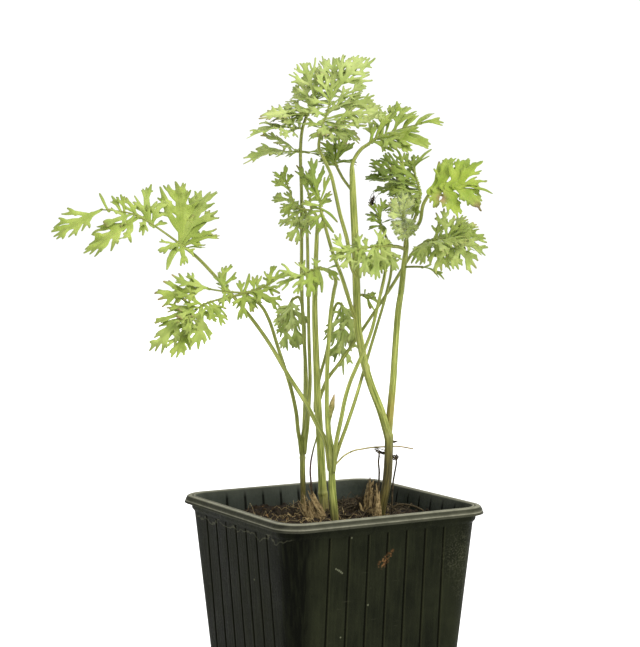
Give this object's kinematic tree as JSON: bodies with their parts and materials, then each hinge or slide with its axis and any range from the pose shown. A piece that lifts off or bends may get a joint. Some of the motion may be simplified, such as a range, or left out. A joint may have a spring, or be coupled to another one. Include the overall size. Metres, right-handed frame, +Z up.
{
  "type": "potted mugwort",
  "caption": "Young mugwort with finely cut leaves on slim green stems, growing in peat in a square ribbed nursery pot.",
  "frame": {"origin": "middle of the pot's underside, on the surface it stands on", "axes": "+Z up along the pot's axis, +X and +Y square to the pot's flat sides"},
  "size_m": [0.1408, 0.1029, 0.2673],
  "materials": {
    "pot_plastic": "dark grey-olive injection-moulded plastic, satin, with scratches and soil specks",
    "peat": "damp fibrous brown peat",
    "stem_green": "green stem, finely ridged, with darker joints",
    "leaf_green": "soft green leaf, pale veins and downy underside",
    "leaf_dark": "dark green leaf in shade, pale veins",
    "shoot_pale": "pale downy young leaves",
    "dry_straw": "dry straw-coloured leaf sheath",
    "dry_root": "thin dry root or stalk, grey-brown"
  },
  "bodies": {
    "root": {"pot": "pot_plastic", "soil": "peat", "stem_left": "stem_green", "stem_front": "stem_green", "stem_tall": "stem_green", "stem_right": "stem_green", "leaf_far_left": "leaf_green", "leaf_low_left": "leaf_green", "leaf_top_left": "leaf_green", "leaf_top_right": "leaf_green", "leaf_mid_left": "leaf_green", "leaf_mid_upper": "leaf_green", "leaf_mid_dark": "leaf_dark", "leaf_hang_left": "leaf_green", "leaf_hang_right": "leaf_green", "leaf_small_back": "leaf_green", "leaf_right_upper": "leaf_green", "leaf_centre_dark": "leaf_dark", "leaf_right_dark": "leaf_dark", "leaf_right_bright": "leaf_green", "leaf_right_low": "leaf_green", "leaf_centre": "leaf_green", "leaf_mid_low": "leaf_green", "leaf_under_centre": "leaf_green", "leaf_dark_small": "leaf_dark", "shoot_tip": "shoot_pale", "leaflet_low_right": "leaf_green", "petiole_stub": "dry_straw", "dry_root_arched": "dry_root", "dry_twig_left": "dry_root", "dry_twig_right": "dry_root", "dry_twig_hooked": "dry_root", "dry_runner": "dry_root", "dry_sheath_left": "dry_straw", "dry_sheath_right": "dry_straw"}
  },
  "joints": []
}
